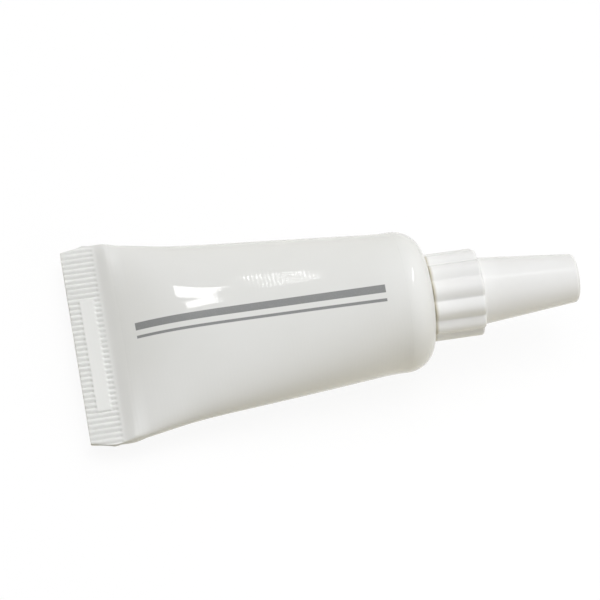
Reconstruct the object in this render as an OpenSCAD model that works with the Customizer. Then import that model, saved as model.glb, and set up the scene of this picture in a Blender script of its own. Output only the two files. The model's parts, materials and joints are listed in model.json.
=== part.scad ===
// A small squeeze tube of grease, lying on its belly with the screw cap on.
// Every piece is drawn about its own axis, local Z, which points out of the nozzle.
// Local Y runs along the crimp and local +X is the underside; on_table() lays it all down.
// Sizes are in millimetres.

/* [Sleeve] */
// Outside diameter of the round end
sleeve_d = 16; // [14:0.5:22]
// Thickness of the sleeve's wall
sleeve_wall = 0.45; // [0.35:0.05:0.6]
// Length from the shoulder's edge to the crimped end
sleeve_l = 36.7; // [35:0.1:60]
// Length of round wall that is left behind the head's skirt
ring_spare = 0.15; // [0.1:0.05:1]
// Length over which the belly bends away from the round end
bend_l = 2.5; // [2:0.5:5]
// Straight length of the belly, on which the tube lies
belly_run = 15.5; // [12:0.5:18]
// Slope of the belly to the axis, in degrees
belly_angle = 8.5; // [6:0.5:10]
// Depth by which the soft belly is pressed flat where it lies
press_depth = 0.25; // [0.12:0.01:0.26]
// Slope of the wall where it runs into the crimp, in degrees
crimp_slope = 37; // [30:1:45]

/* [Crimp] */
// Length of the crimped strip along the axis
crimp_l = 3.8; // [3.2:0.1:6]
// Number of pressed ribs on each face
rib_count = 39; // [20:1:48]
// Depth of the grooves between the ribs
rib_depth = 0.09; // [0.05:0.01:0.12]
// Widening of each side of the strip as it is pressed
crimp_spread = 0.15; // [0.05:0.05:0.3]
// Width taken off each end corner
corner_cut = 0.55; // [0.2:0.05:1.5]
// Length of the slanted corners
corner_l = 2.6; // [1:0.1:3]
// Length of the smooth window among the ribs
window_l = 13.8; // [6:0.2:18]
// Width of the smooth window
window_w = 1.65; // [1:0.05:1.8]
// Ribbed margin between the window and the end
window_edge = 1.2; // [0.6:0.1:1.4]
// Distance from the window's middle to the tube's axis
window_shift = 1.5; // [0:0.1:2]
// Height of the window's face over the rib crests
window_rise = 0.02; // [0.02:0.01:0.06]

/* [Head] */
// Length of the skirt that is welded inside the sleeve
skirt_l = 0.45; // [0.4:0.05:2]
// Thickness of the skirt
skirt_t = 0.8; // [0.6:0.1:1.2]
// Radius of the shoulder's rounded edge
shoulder_edge_r = 3.5; // [1:0.1:4]
// Slope of the shoulder, in degrees
shoulder_angle = 34; // [20:1:40]
// Thickness of the shoulder
shoulder_t = 0.9; // [0.7:0.1:1.2]
// Diameter of the flat land around the neck
land_d = 12; // [10.6:0.1:12.6]
// Diameter of the neck at the root of its thread
neck_d = 7.2; // [6.6:0.1:7.6]
// Length of the neck
neck_l = 5; // [4:0.1:6]
// Diameter of the channel through the neck
channel_d = 4; // [3:0.1:4.2]
// Diameter of the nozzle where it leaves the neck
nozzle_base_d = 5; // [4.6:0.1:5.4]
// Diameter of the nozzle at its mouth
nozzle_tip_d = 3.1; // [2.8:0.1:3.6]
// Length of the nozzle
nozzle_l = 10; // [7:0.1:14]
// Chamfer around the nozzle's mouth
nozzle_chamfer = 0.25; // [0.1:0.05:0.4]
// Diameter of the outlet
orifice_d = 1.5; // [1:0.1:2]

/* [Cap] */
// Wall from the bore to the crest of a lobe
collar_wall = 0.85; // [0.75:0.05:1.2]
// Number of grip lobes
lobe_count = 12; // [10:1:16]
// Depth of the grooves between the lobes
lobe_depth = 0.48; // [0.3:0.02:0.6]
// Roof over the neck's end
collar_roof = 0.65; // [0.5:0.05:1.2]
// Rounding of the collar's upper edge
collar_edge_r = 0.35; // [0.2:0.05:0.5]
// Rounding of the collar's rim
rim_edge_r = 0.15; // [0.1:0.05:0.3]
// Wall of the nose at its base
nose_base_wall = 0.98; // [0.8:0.02:1.1]
// Wall of the nose at its tip
nose_tip_wall = 0.88; // [0.6:0.02:1.1]
// End wall of the nose
nose_end_wall = 1.2; // [0.9:0.05:2]
// Rounding of the nose's end
nose_edge_r = 0.5; // [0.2:0.05:0.7]
// Fillet where the nose meets the collar
nose_fillet_r = 0.35; // [0.2:0.05:0.5]
// Chamfer at the mouth of the bore
mouth_chamfer = 0.2; // [0.1:0.05:0.3]

/* [Liner] */
// Diameter of the sealing disc
liner_d = 3.5; // [3.2:0.1:3.6]
// Thickness of the sealing disc
liner_t = 1; // [0.6:0.1:1.5]

/* [Fits] */
// Gap between the skirt and the sleeve
weld_gap = 0.03; // [0.02:0.01:0.06]
// Gap between the shoulder's land and the cap's rim
rim_gap = 0.2; // [0.1:0.05:0.5]
// Room between the neck and the bore, which the thread takes up
thread_room = 0.6; // [0.4:0.05:0.7]
// Gap between the neck's end and the cap's roof
roof_gap = 0.3; // [0.2:0.05:0.6]
// Gap around the nozzle inside the nose
nozzle_gap = 0.35; // [0.25:0.05:0.5]
// Gap around the sealing disc and under it
liner_gap = 0.05; // [0.04:0.01:0.1]
// Gap between the grease and the walls that hold it
fill_gap = 0.05; // [0.04:0.01:0.1]
// Air left between the grease and the crimp
fill_air = 1.5; // [1:0.1:6]

/* [Hidden] */
$fn = 96;

// Points around each section of the sleeve, with a point on both side edges
around = 50;
// Sections along each bent stretch of the sleeve
steps = 10;
// Points along each rounded edge
arc_steps = 8;
// Points along each lobe, and the power that makes its crest broader than the groove
lobe_steps = 12;
lobe_power = 0.8;
// Least width of the shoulder's straight slope
slope_w = 0.3;
// Depth by which the lofted wall runs into the round ring and into the crimp
bury = 0.3;
// Distance by which the lofted wall lies inside the faces of the ring and the crimp
tuck = 0.02;
// Length of sealed wall between the hollow and the crimp
seal_l = 0.5;

sleeve_r = sleeve_d / 2;
sleeve_in_r = sleeve_r - sleeve_wall;
round_l = skirt_l + ring_spare;
crimp_z = -(sleeve_l - crimp_l);
run_end = bend_l + belly_run;
taper_l = -crimp_z - round_l - run_end;

// The wall's middle line keeps the same girth from the round end to the flat crimp.
girth = PI * (sleeve_d - sleeve_wall);
round_b = (sleeve_d - sleeve_wall) / 2;
// Two walls are pressed together in the crimp, and its grooves are pressed deeper.
crimp_t = 2 * sleeve_wall;
crimp_b = (crimp_t - sleeve_wall) / 2 - rib_depth;
// Share of a section's half axis at which the middle of its facets lies
facet_share = cos(180 / around);

// Height of the straight belly's line over the axis, also beyond its ends
function belly_line(z) = round_b + tan(belly_angle) * (z + round_l + bend_l / 2);

// Half the thickness of the wall's middle line at a height z on the axis
function half_thickness(z) =
    let (u = -round_l - z)
    let (t = (u - run_end) / taper_l)
    u <= 0 ? round_b
    : u <= bend_l ? round_b - tan(belly_angle) * u * u / (2 * bend_l)
    : u <= run_end ? belly_line(z)
    : t >= 1 ? crimp_b
    : (2 * t ^ 3 - 3 * t ^ 2 + 1) * belly_line(-round_l - run_end)
      - (t ^ 3 - 2 * t ^ 2 + t) * taper_l * tan(belly_angle)
      + (3 * t ^ 2 - 2 * t ^ 3) * crimp_b
      - (t ^ 3 - t ^ 2) * taper_l * tan(crimp_slope);

// Half the width a that gives an ellipse of half thickness b the sleeve's girth,
// from girth / PI = 3 (a + b) - sqrt((3 a + b) (a + 3 b)), solved for a
function half_width(b) =
    let (share = girth / PI)
    let (half = 3 * share - 4 * b)
    (half + sqrt(half ^ 2 - 6 * (6 * b ^ 2 - 6 * share * b + share ^ 2))) / 6;

// Points of the sleeve's section at height z, moved out from the middle line by a distance,
// with their corners on the section's curve, or further out so that their facets touch it,
// and pressed flat below
function section(z, out, share = 1) =
    let (b = (half_thickness(z) + out) / share)
    let (a = (half_width(half_thickness(z)) + out) / share)
    let (pressed = belly_line(z) - press_depth + out)
    [for (i = [0:around - 1])
        let (angle = 360 * i / around)
        [min(b * sin(angle), pressed), a * cos(angle), z]];

// Heights of the sections from one height down to another, closer where the wall bends
function heights(top, bottom) =
    let (bend = [for (i = [0:steps]) bend_l * i / steps])
    let (taper = [for (i = [0:steps]) run_end + taper_l * i / steps])
    let (between = [for (u = concat(bend, taper)) -round_l - u])
    concat([top], [for (z = between) if (z < top - tuck && z > bottom + tuck) z], [bottom]);

// Triangles between each pair of neighbouring rings, which start at one point number
function wall_faces(rings, first, flip) =
    [for (k = [0:rings - 2], i = [0:around - 1], half = [0, 1])
        let (j = (i + 1) % around)
        let (p = first + k * around, q = p + around)
        let (face = half == 0 ? [p + i, q + i, q + j] : [p + i, q + j, p + j])
        flip ? [face[2], face[1], face[0]] : face];

// One ring's points as a closing face
function ring_face(first, flip) =
    [for (i = [0:around - 1]) first + (flip ? around - 1 - i : i)];

// Points on an arc about a centre, from one angle to another
function arc(centre, r, from, to) =
    [for (i = [0:arc_steps])
        let (angle = from + (to - from) * i / arc_steps)
        centre + r * [cos(angle), sin(angle)]];

// The shoulder's profile, with its edge no rounder than the land leaves room for
edge_r = min(shoulder_edge_r, (sleeve_r - land_d / 2 - slope_w) / (1 - sin(shoulder_angle)));
shoulder_edge = [sleeve_r - edge_r, 0];
cone_start = shoulder_edge + edge_r * [sin(shoulder_angle), cos(shoulder_angle)];
function shoulder_z(r) = cone_start.y + (cone_start.x - r) * tan(shoulder_angle);

land_z = shoulder_z(land_d / 2);
skirt_r = sleeve_in_r - weld_gap;
skirt_in_r = skirt_r - skirt_t;
neck_z = land_z + neck_l;
mouth_z = neck_z + nozzle_l;
roof_in_z = land_z - shoulder_t;

// The cap follows the neck, the nozzle and the sealing disc.
bore_r = neck_d / 2 + thread_room;
crest_r = bore_r + collar_wall;
rim_z = land_z + rim_gap;
bore_z = neck_z + roof_gap;
collar_z = bore_z + collar_roof;
nose_in_base_r = nozzle_base_d / 2 + nozzle_gap;
nose_in_tip_r = nozzle_tip_d / 2 + nozzle_gap;
nose_base_r = nose_in_base_r + nose_base_wall;
nose_tip_r = nose_in_tip_r + nose_tip_wall;
liner_z = mouth_z + liner_gap;
seat_r = liner_d / 2 + liner_gap;
seat_z = liner_z + liner_t + liner_gap;
tip_z = seat_z + nose_end_wall;
nose_slope = (nose_base_r - nose_tip_r) / (tip_z - collar_z);

// The crimp's outline and its place
crimp_half_w = half_width(crimp_b) + sleeve_wall / 2 + crimp_spread;
rib_pitch = 2 * crimp_half_w / rib_count;

// How the tube lies: its pressed belly is on the table and the box is centred over the origin.
belly_x = belly_line(0) - press_depth + sleeve_wall / 2 - tuck;
rest_h = belly_x * cos(belly_angle);
back_x = -sleeve_l * cos(belly_angle) - crimp_t / 2 * sin(belly_angle);
front_x = nose_edge_r + (tip_z - nose_edge_r) * cos(belly_angle)
    + (nose_tip_r - nose_edge_r) * sin(belly_angle);

module on_table() {
    translate([-(back_x + front_x) / 2, 0, rest_h])
        rotate([0, 90 - belly_angle, 0])
            children();
}

// The hollow wall from the round ring to the crimp
module lofted_wall() {
    outer_z = heights(-round_l + bury, crimp_z - bury);
    inner_z = heights(-round_l + bury, crimp_z + seal_l);
    outer = [for (z = outer_z) each section(z, sleeve_wall / 2 - tuck)];
    inner = [for (z = inner_z) each section(z, tuck - sleeve_wall / 2, facet_share)];
    first_inner = len(outer);
    last_outer = first_inner - around;
    last_inner = first_inner + len(inner) - around;
    front = [for (i = [0:around - 1], half = [0, 1])
        let (j = (i + 1) % around)
        half == 0 ? [i, j, first_inner + j] : [i, first_inner + j, first_inner + i]];
    polyhedron(
        points = concat(outer, inner),
        faces = concat(
            wall_faces(len(outer_z), 0, false),
            wall_faces(len(inner_z), first_inner, true),
            front,
            [ring_face(last_outer, true), ring_face(last_inner, false)]
        ),
        convexity = 6
    );
}

// The flat strip with its ribs, its slanted corners and its smooth window
module crimp() {
    crest = crimp_t / 2;
    groove = crest - rib_depth;
    below = [for (i = [0:2 * rib_count])
        [i % 2 == 1 ? crest : groove, -crimp_half_w + i * rib_pitch / 2]];
    above = [for (i = [0:2 * rib_count])
        let (k = 2 * rib_count - i)
        [k % 2 == 1 ? -crest : -groove, -crimp_half_w + k * rib_pitch / 2]];
    outline = [
        [-crimp_half_w + crimp_spread, crimp_z],
        [-crimp_half_w, -sleeve_l + corner_l],
        [-crimp_half_w + corner_cut, -sleeve_l],
        [crimp_half_w - corner_cut, -sleeve_l],
        [crimp_half_w, -sleeve_l + corner_l],
        [crimp_half_w - crimp_spread, crimp_z]
    ];
    intersection() {
        union() {
            translate([0, 0, -sleeve_l])
                linear_extrude(crimp_l)
                    polygon(concat(below, above));
            translate([-crest - window_rise, -window_shift - window_l / 2, -sleeve_l + window_edge])
                cube([crest, window_l, window_w]);
        }
        rotate([90, 0, 90])
            linear_extrude(2 * crimp_t, center = true)
                polygon(outline);
    }
}

// The space under the pressed belly
module under_belly() {
    translate([belly_x, 0, 0])
        rotate([0, belly_angle, 0])
            translate([0, -sleeve_r, -sleeve_r])
                cube(sleeve_d);
}

module tube_sleeve() {
    color([0.89, 0.89, 0.88]) on_table() {
        difference() {
            rotate_extrude()
                translate([sleeve_in_r, -round_l])
                    square([sleeve_wall, round_l]);
            under_belly();
        }
        lofted_wall();
        crimp();
    }
}

module shoulder_nozzle() {
    outside = concat(
        [[skirt_r, -skirt_l], [skirt_r, 0]],
        arc(shoulder_edge, edge_r, 0, 90 - shoulder_angle),
        [
            [land_d / 2, land_z],
            [neck_d / 2, land_z],
            [neck_d / 2, neck_z],
            [nozzle_base_d / 2, neck_z],
            [nozzle_tip_d / 2, mouth_z - nozzle_chamfer],
            [nozzle_tip_d / 2 - nozzle_chamfer, mouth_z]
        ]
    );
    inside = [
        [orifice_d / 2, mouth_z],
        [channel_d / 2, neck_z - shoulder_t],
        [channel_d / 2, roof_in_z],
        [land_d / 2, roof_in_z],
        [skirt_in_r, shoulder_z(skirt_in_r) - shoulder_t],
        [skirt_in_r, -skirt_l]
    ];
    color([0.9, 0.9, 0.89]) on_table()
        rotate_extrude()
            polygon(concat(outside, inside));
}

// The collar's outline with its lobes, a groove facing up
module lobes() {
    turns = [for (i = [0:lobe_count * lobe_steps - 1]) 360 * i / (lobe_count * lobe_steps)];
    linear_extrude(collar_z)
        polygon([for (angle = turns)
            let (groove = 1 - ((1 - cos(lobe_count * angle)) / 2) ^ lobe_power)
            (crest_r - lobe_depth * groove) * [cos(angle), sin(angle)]]);
}

module screw_cap() {
    collar = concat(
        [[0, rim_z]],
        arc([crest_r - rim_edge_r, rim_z + rim_edge_r], rim_edge_r, -90, 0),
        arc([crest_r - collar_edge_r, collar_z - collar_edge_r], collar_edge_r, 0, 90),
        [[0, collar_z]]
    );
    fillet_at = [nose_base_r + nose_fillet_r * (1 - nose_slope), collar_z + nose_fillet_r];
    nose = concat(
        [[0, bore_z], [fillet_at.x, bore_z]],
        arc(fillet_at, nose_fillet_r, 270, 180),
        arc([nose_tip_r - nose_edge_r, tip_z - nose_edge_r], nose_edge_r, 0, 90),
        [[0, tip_z]]
    );
    hollow = [
        [0, rim_z - mouth_chamfer],
        [bore_r + 2 * mouth_chamfer, rim_z - mouth_chamfer],
        [bore_r, rim_z + mouth_chamfer],
        [bore_r, bore_z],
        [nose_in_base_r, bore_z],
        [nose_in_tip_r, mouth_z],
        [seat_r, mouth_z],
        [seat_r, seat_z],
        [0, seat_z]
    ];
    color([0.93, 0.93, 0.92]) on_table() difference() {
        union() {
            intersection() {
                lobes();
                rotate_extrude()
                    polygon(collar);
            }
            rotate_extrude()
                polygon(nose);
        }
        rotate_extrude()
            polygon(hollow);
    }
}

module cap_liner() {
    color([0.86, 0.88, 0.87]) on_table()
        translate([0, 0, liner_z])
            cylinder(d = liner_d, h = liner_t);
}

// The grease: a soft body in the sleeve, and a plug that fills the head up to the outlet
module grease_fill() {
    body_z = heights(-skirt_l - fill_gap, crimp_z + fill_air);
    body = [for (z = body_z) each section(z, -sleeve_wall / 2 - fill_gap)];
    plug = [
        [0, -round_l],
        [skirt_in_r - fill_gap, -round_l],
        [skirt_in_r - fill_gap, shoulder_z(skirt_in_r) - shoulder_t - fill_gap],
        [land_d / 2 - fill_gap, roof_in_z - fill_gap],
        [channel_d / 2 - fill_gap, roof_in_z - fill_gap],
        [channel_d / 2 - fill_gap, neck_z - shoulder_t],
        [orifice_d / 2 - fill_gap, mouth_z - fill_gap],
        [0, mouth_z - fill_gap]
    ];
    color([0.83, 0.66, 0.36]) on_table() {
        polyhedron(
            points = body,
            faces = concat(
                wall_faces(len(body_z), 0, false),
                [ring_face(0, false), ring_face(len(body) - around, true)]
            ),
            convexity = 4
        );
        rotate_extrude()
            polygon(plug);
    }
}

tube_sleeve();
shoulder_nozzle();
screw_cap();
cap_liner();
grease_fill();
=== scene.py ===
# %% [markdown]
# # A squeeze tube of grease
# A small white squeeze tube lies on a table with its cap on. One end of its sleeve is round, the other
# is pressed flat into a ribbed crimp. The solid model gives the sizes and the places of all pieces. The
# cells below dress it, one piece or one finish at a time, in the solid model's own frame.

# %% Load the solid model
import json
import math

import bmesh
import bpy
from mathutils import Matrix, Vector


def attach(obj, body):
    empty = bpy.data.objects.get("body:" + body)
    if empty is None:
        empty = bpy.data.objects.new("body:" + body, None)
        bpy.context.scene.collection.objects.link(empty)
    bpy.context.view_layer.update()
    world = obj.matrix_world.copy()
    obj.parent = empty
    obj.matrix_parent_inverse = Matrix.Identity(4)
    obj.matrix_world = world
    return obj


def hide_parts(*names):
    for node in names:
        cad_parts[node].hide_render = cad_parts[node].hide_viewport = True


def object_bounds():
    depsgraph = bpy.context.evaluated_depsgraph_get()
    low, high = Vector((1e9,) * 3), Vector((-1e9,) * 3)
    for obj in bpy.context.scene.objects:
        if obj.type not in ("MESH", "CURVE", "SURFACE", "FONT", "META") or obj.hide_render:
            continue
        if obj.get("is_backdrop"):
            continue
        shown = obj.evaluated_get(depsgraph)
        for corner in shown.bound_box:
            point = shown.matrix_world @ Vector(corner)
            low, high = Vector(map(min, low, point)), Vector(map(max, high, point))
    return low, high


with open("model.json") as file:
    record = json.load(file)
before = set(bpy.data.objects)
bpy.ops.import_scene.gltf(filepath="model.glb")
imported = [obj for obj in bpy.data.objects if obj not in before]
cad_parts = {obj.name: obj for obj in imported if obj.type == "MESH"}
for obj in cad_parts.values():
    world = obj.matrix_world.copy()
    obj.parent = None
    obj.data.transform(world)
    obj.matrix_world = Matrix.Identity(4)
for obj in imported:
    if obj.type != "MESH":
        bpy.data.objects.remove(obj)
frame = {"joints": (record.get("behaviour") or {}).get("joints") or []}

MM = 0.001
cad_box = [list(corner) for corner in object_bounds()]
print("solid model, mm:", [round((b - a) / MM, 2) for a, b in zip(*cad_box)])

# %% [markdown]
# ## The tube's own axes
# The tube lies on its belly, so its axis rises a little from the table. Every piece is round about that
# axis or flat across it, so it is easiest to draw along an upright axis in millimetres and to lay the
# mesh down at the end. One matrix does that. It comes from the joint that turns the cap: the joint gives
# the axis, and its place is the middle of the cap's rim. Height 0 is where the shoulder starts.

# %% A matrix that lays a drawing down on the table
sleeve_r = 8.0
shoulder_edge_r, shoulder_angle, land_r = 3.5, math.radians(34), 6.0
rim_gap = 0.2

cone_r = sleeve_r - shoulder_edge_r * (1 - math.sin(shoulder_angle))
cone_z = shoulder_edge_r * math.cos(shoulder_angle)
land_z = cone_z + (cone_r - land_r) * math.tan(shoulder_angle)
rim_z = land_z + rim_gap

turn = next(joint for joint in frame["joints"] if joint["name"] == "cap_turn")
axis = Vector(turn["axis"]).normalized()
across = Vector((0, 1, 0))
under = across.cross(axis)
origin = Vector(turn["pos_m"]) - axis * rim_z * MM
turned = Matrix((under, across, axis)).transposed().to_4x4()
to_table = Matrix.Translation(origin) @ turned @ Matrix.Scale(MM, 4)
print("axis rises %.2f degrees, shoulder at %.2f mm" % (math.degrees(math.asin(axis.z)), origin.x / MM))

# %% [markdown]
# ## Camera
# The view is from above the table with a long lens, a little rolled, as the object was framed. A camera
# could be turned by a constraint, but a matrix of its three directions is exact and needs no target.

# %% The camera
frame_px, focal_px, sensor_mm = 600, 2913.06, 36.0
view_azimuth, view_elevation, view_roll = (math.radians(a) for a in (-29.424, 58.996, 21.798))
view_distance = 0.32604
view_aim = Vector((-0.003386, 0.001201, 0.007891))

level = Vector((math.cos(view_azimuth), math.sin(view_azimuth), 0))
back = Vector((math.sin(view_azimuth) * math.cos(view_elevation),
               -math.cos(view_azimuth) * math.cos(view_elevation), math.sin(view_elevation)))
above = back.cross(level)
right = math.cos(view_roll) * level + math.sin(view_roll) * above
up = math.cos(view_roll) * above - math.sin(view_roll) * level

lens = bpy.data.cameras.new("photo_camera")
lens.sensor_width = sensor_mm
lens.lens = focal_px * sensor_mm / frame_px
lens.clip_start, lens.clip_end = 0.01, 10
camera = bpy.data.objects.new("photo_camera", lens)
bpy.context.collection.objects.link(camera)
facing = Matrix((right, up, back)).transposed().to_4x4()
camera.matrix_world = Matrix.Translation(view_aim + back * view_distance) @ facing
bpy.context.scene.camera = camera
bpy.context.scene.view_settings.view_transform = "Standard"
print("lens %.1f mm at %.0f mm from the tube" % (lens.lens, view_distance / MM))

# %% [markdown]
# ## Sums in a node tree
# The sleeve, the lobes and the threads follow rules that are easy to write as sums. A node tree needs a
# Math node for each step of a sum. This small class writes those nodes, so that a rule reads as it would
# on paper. It works in Geometry Nodes and in shader trees alike.


# %% A number in a node tree that takes part in sums
class Field:
    """A socket of a node tree. Each sum with it adds a Math node."""

    def __init__(self, tree, socket):
        self.tree, self.socket = tree, socket

    def math(self, operation, *others):
        node = self.tree.nodes.new("ShaderNodeMath")
        node.operation = operation
        for slot, value in zip(node.inputs, (self, *others)):
            if isinstance(value, Field):
                self.tree.links.new(value.socket, slot)
            else:
                slot.default_value = value
        return Field(self.tree, node.outputs[0])

    def __add__(self, other):
        return self.math("ADD", other)

    def __sub__(self, other):
        return self.math("SUBTRACT", other)

    def __rsub__(self, other):
        return self.math("MULTIPLY", -1).math("ADD", other)

    def __mul__(self, other):
        return self.math("MULTIPLY", other)

    def __truediv__(self, other):
        return self.math("DIVIDE", other)

    def __pow__(self, other):
        return self.math("POWER", other)

    def __abs__(self):
        return self.math("ABSOLUTE")

    __radd__, __rmul__ = __add__, __mul__

    def cos(self):
        return self.math("COSINE")

    def sin(self):
        return self.math("SINE")

    def root(self):
        return self.most(0).math("SQRT")

    def least(self, other):
        return self.math("MINIMUM", other)

    def most(self, other):
        return self.math("MAXIMUM", other)

    def clip(self, low=0, high=1):
        return self.most(low).least(high)

    def ease(self):
        """From 0 to 1 with a soft start and a soft end."""
        t = self.clip()
        return t * t * (3 - t * 2)

    def into(self, socket):
        self.tree.links.new(self.socket, socket)


print("sums are ready for", bpy.app.version_string)

# %% [markdown]
# ## From an outline to a grid
# All pieces here are sheets that close on themselves: a wall goes around the axis, or a thread goes along
# its path. A lathe or a loft could be made in plain mesh code. Here each is a Geometry Nodes tree that
# starts from a grid. The grid has one row for each point of an outline and columns around the piece, and
# the tree's rule says where each point goes.


# %% Start of every tree
def new_tree(name, sizes):
    """A tree with an outline, named sizes and a finish as inputs, and its inputs by name."""
    tree = bpy.data.node_groups.new(name, "GeometryNodeTree")
    tree.is_modifier = True
    socket = tree.interface.new_socket
    socket("Outline", in_out="INPUT", socket_type="NodeSocketGeometry")
    for size, value in sizes.items():
        kind = "NodeSocketInt" if isinstance(value, int) else "NodeSocketFloat"
        socket(size, in_out="INPUT", socket_type=kind).default_value = value
    socket("Finish", in_out="INPUT", socket_type="NodeSocketMaterial")
    socket("Piece", in_out="OUTPUT", socket_type="NodeSocketGeometry")
    given = tree.nodes.new("NodeGroupInput").outputs
    return tree, {s.name: s for s in given if s.name}


def rows_and_columns(tree, given):
    """A grid, the outline's point for each row as three fields, and the share of the way across."""
    link = tree.links.new
    points = tree.nodes.new("GeometryNodeAttributeDomainSize")
    link(given["Outline"], points.inputs["Geometry"])
    grid = tree.nodes.new("GeometryNodeMeshGrid")
    link(points.outputs["Point Count"], grid.inputs["Vertices X"])
    link(given["Columns"], grid.inputs["Vertices Y"])
    index = Field(tree, tree.nodes.new("GeometryNodeInputIndex").outputs[0])
    columns = Field(tree, given["Columns"])
    row = ((index + 0.5) / columns).math("FLOOR")
    sample = tree.nodes.new("GeometryNodeSampleIndex")
    sample.data_type, sample.domain = "FLOAT_VECTOR", "POINT"
    link(given["Outline"], sample.inputs["Geometry"])
    link(tree.nodes.new("GeometryNodeInputPosition").outputs[0], sample.inputs["Value"])
    row.into(sample.inputs["Index"])
    point = tree.nodes.new("ShaderNodeSeparateXYZ")
    link(sample.outputs["Value"], point.inputs[0])
    share = (index - row * columns) / (columns - 1)
    return grid.outputs["Mesh"], [Field(tree, s) for s in point.outputs], share


print("trees can be started")

# %% [markdown]
# ## From a grid to a surface
# Every tree ends in the same way: the points go to their places, and points that meet are merged,
# which closes seams and poles. Instances would be lost later, so they are made real, although these
# trees have none. Then the surface gets its finish.


# %% End of every tree
def end_tree(tree, given, mesh, place):
    """Moves the grid's points to their places, merges, smooths and paints."""
    weld_mm = 0.0004
    join = tree.nodes.new("ShaderNodeCombineXYZ")
    for value, slot in zip(place, join.inputs):
        value.into(slot)
    last = mesh
    for kind in ("SetPosition", "MergeByDistance", "SetShadeSmooth", "RealizeInstances", "SetMaterial"):
        node = tree.nodes.new("GeometryNode" + kind)
        tree.links.new(last, node.inputs["Geometry"])
        if kind == "SetPosition":
            tree.links.new(join.outputs[0], node.inputs["Position"])
        if kind == "MergeByDistance":
            node.inputs["Distance"].default_value = weld_mm
        if kind == "SetMaterial":
            tree.links.new(given["Finish"], node.inputs["Material"])
        last = node.outputs["Geometry"]
    tree.links.new(last, tree.nodes.new("NodeGroupOutput").inputs["Piece"])
    return tree


print("trees can be ended")

# %% [markdown]
# ## From a tree to a mesh
# A modifier runs the tree, but the finished piece has to be a plain mesh that keeps its shape without
# it. So a holder carries the outline and the modifier for a moment, and its result is copied out. The
# modifier's inputs are set by their identifiers, because names may change, and before its first run.


# %% Run a tree
def grow(tree, outline, finish, **sizes):
    """The mesh that a tree makes from an outline, with some sizes of its own."""
    line = bpy.data.meshes.new("outline")
    line.from_pydata(outline, [(i, i + 1) for i in range(len(outline) - 1)], [])
    holder = bpy.data.objects.new("holder", line)
    bpy.context.collection.objects.link(holder)
    rule = holder.modifiers.new("rule", "NODES")
    rule.node_group = tree
    wanted = {key.replace("_", " ").capitalize(): value for key, value in sizes.items()}
    wanted["Finish"] = finish
    for item in tree.interface.items_tree:
        if item.in_out == "INPUT" and item.name in wanted:
            rule[item.identifier] = wanted[item.name]
    done = holder.evaluated_get(bpy.context.evaluated_depsgraph_get())
    mesh = bpy.data.meshes.new_from_object(done)
    holder.modifiers.remove(rule)
    bpy.data.objects.remove(holder)
    bpy.data.meshes.remove(line)
    return mesh


print("trees can be grown")

# %% [markdown]
# ## From meshes to a piece
# A moulding that has a thread is two meshes in one piece. Its faces are turned outwards, it is laid
# down on the table, and edges above a certain angle stay sharp. Then it is tied to the body that it
# moves with, and stands for the plain solid there.


# %% Settle a piece
def settle(name, meshes, body, node):
    """One piece from one or more meshes that are moulded together, riding on its body."""
    sharp_angle = math.radians(38)
    shape = bmesh.new()
    for mesh in meshes:
        shape.from_mesh(mesh)
    for face in shape.faces:
        face.material_index = 0
    bmesh.ops.recalc_face_normals(shape, faces=shape.faces)
    bmesh.ops.transform(shape, matrix=to_table, verts=shape.verts)
    mesh = bpy.data.meshes.new(name)
    shape.to_mesh(mesh)
    open_edges = sum(not edge.is_manifold for edge in shape.edges)
    shape.free()
    mesh.materials.append(meshes[0].materials[-1])
    mesh.shade_smooth()
    mesh.set_sharp_from_angle(angle=sharp_angle)
    piece = bpy.data.objects.new(name, mesh)
    bpy.context.collection.objects.link(piece)
    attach(piece, body)
    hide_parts(node)
    print(name, len(mesh.vertices), "points,", open_edges, "open edges")


print("pieces can be settled")

# %% [markdown]
# ## Finishes
# A finish is a material whose colour, gloss and finest heights change over the surface. Images could
# carry such changes, but noise from nodes has no seams and is as fine as it needs to be. All finishes
# here read the object's coordinates and turn them into the tube's own millimetres, so a pattern has a
# real size and follows the axis.


# %% A new finish
def new_finish(name):
    """A material, its tree, its shader, and a vector with the tube's own millimetres."""
    specular_level = 0.2
    finish = bpy.data.materials.new(name)
    finish.use_nodes = True
    tree = finish.node_tree
    coordinates = tree.nodes.new("ShaderNodeTexCoord")
    to_tube = tree.nodes.new("ShaderNodeMapping")
    place, spin, size = to_table.inverted().decompose()
    to_tube.inputs["Location"].default_value = place
    to_tube.inputs["Rotation"].default_value = spin.to_euler()
    to_tube.inputs["Scale"].default_value = size
    tree.links.new(coordinates.outputs["Object"], to_tube.inputs["Vector"])
    shader = tree.nodes["Principled BSDF"]
    shader.inputs["Specular IOR Level"].default_value = specular_level
    return finish, tree, shader, to_tube.outputs[0]


print("finishes can be started")

# %% [markdown]
# ### Patterns
# Two textures are enough for plastic, foam and grease: smooth noise, which can be drawn out in one
# direction, and cells around scattered points. Both give one number for each place.


# %% Noise and cells
def parts_of(tree, vector):
    """The three numbers of a vector."""
    split = tree.nodes.new("ShaderNodeSeparateXYZ")
    tree.links.new(vector, split.inputs[0])
    return [Field(tree, s) for s in split.outputs]


def noise(tree, vector, per_mm, detail=2.0, stretch=(1, 1, 1)):
    """Smooth noise between 0 and 1, with so many lumps to a millimetre."""
    scale = tree.nodes.new("ShaderNodeVectorMath")
    scale.operation = "MULTIPLY"
    scale.inputs[1].default_value = stretch
    tree.links.new(vector, scale.inputs[0])
    texture = tree.nodes.new("ShaderNodeTexNoise")
    tree.links.new(scale.outputs[0], texture.inputs["Vector"])
    texture.inputs["Detail"].default_value = detail
    if isinstance(per_mm, Field):
        per_mm.into(texture.inputs["Scale"])
    else:
        texture.inputs["Scale"].default_value = per_mm
    return Field(tree, texture.outputs["Fac"])


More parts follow.
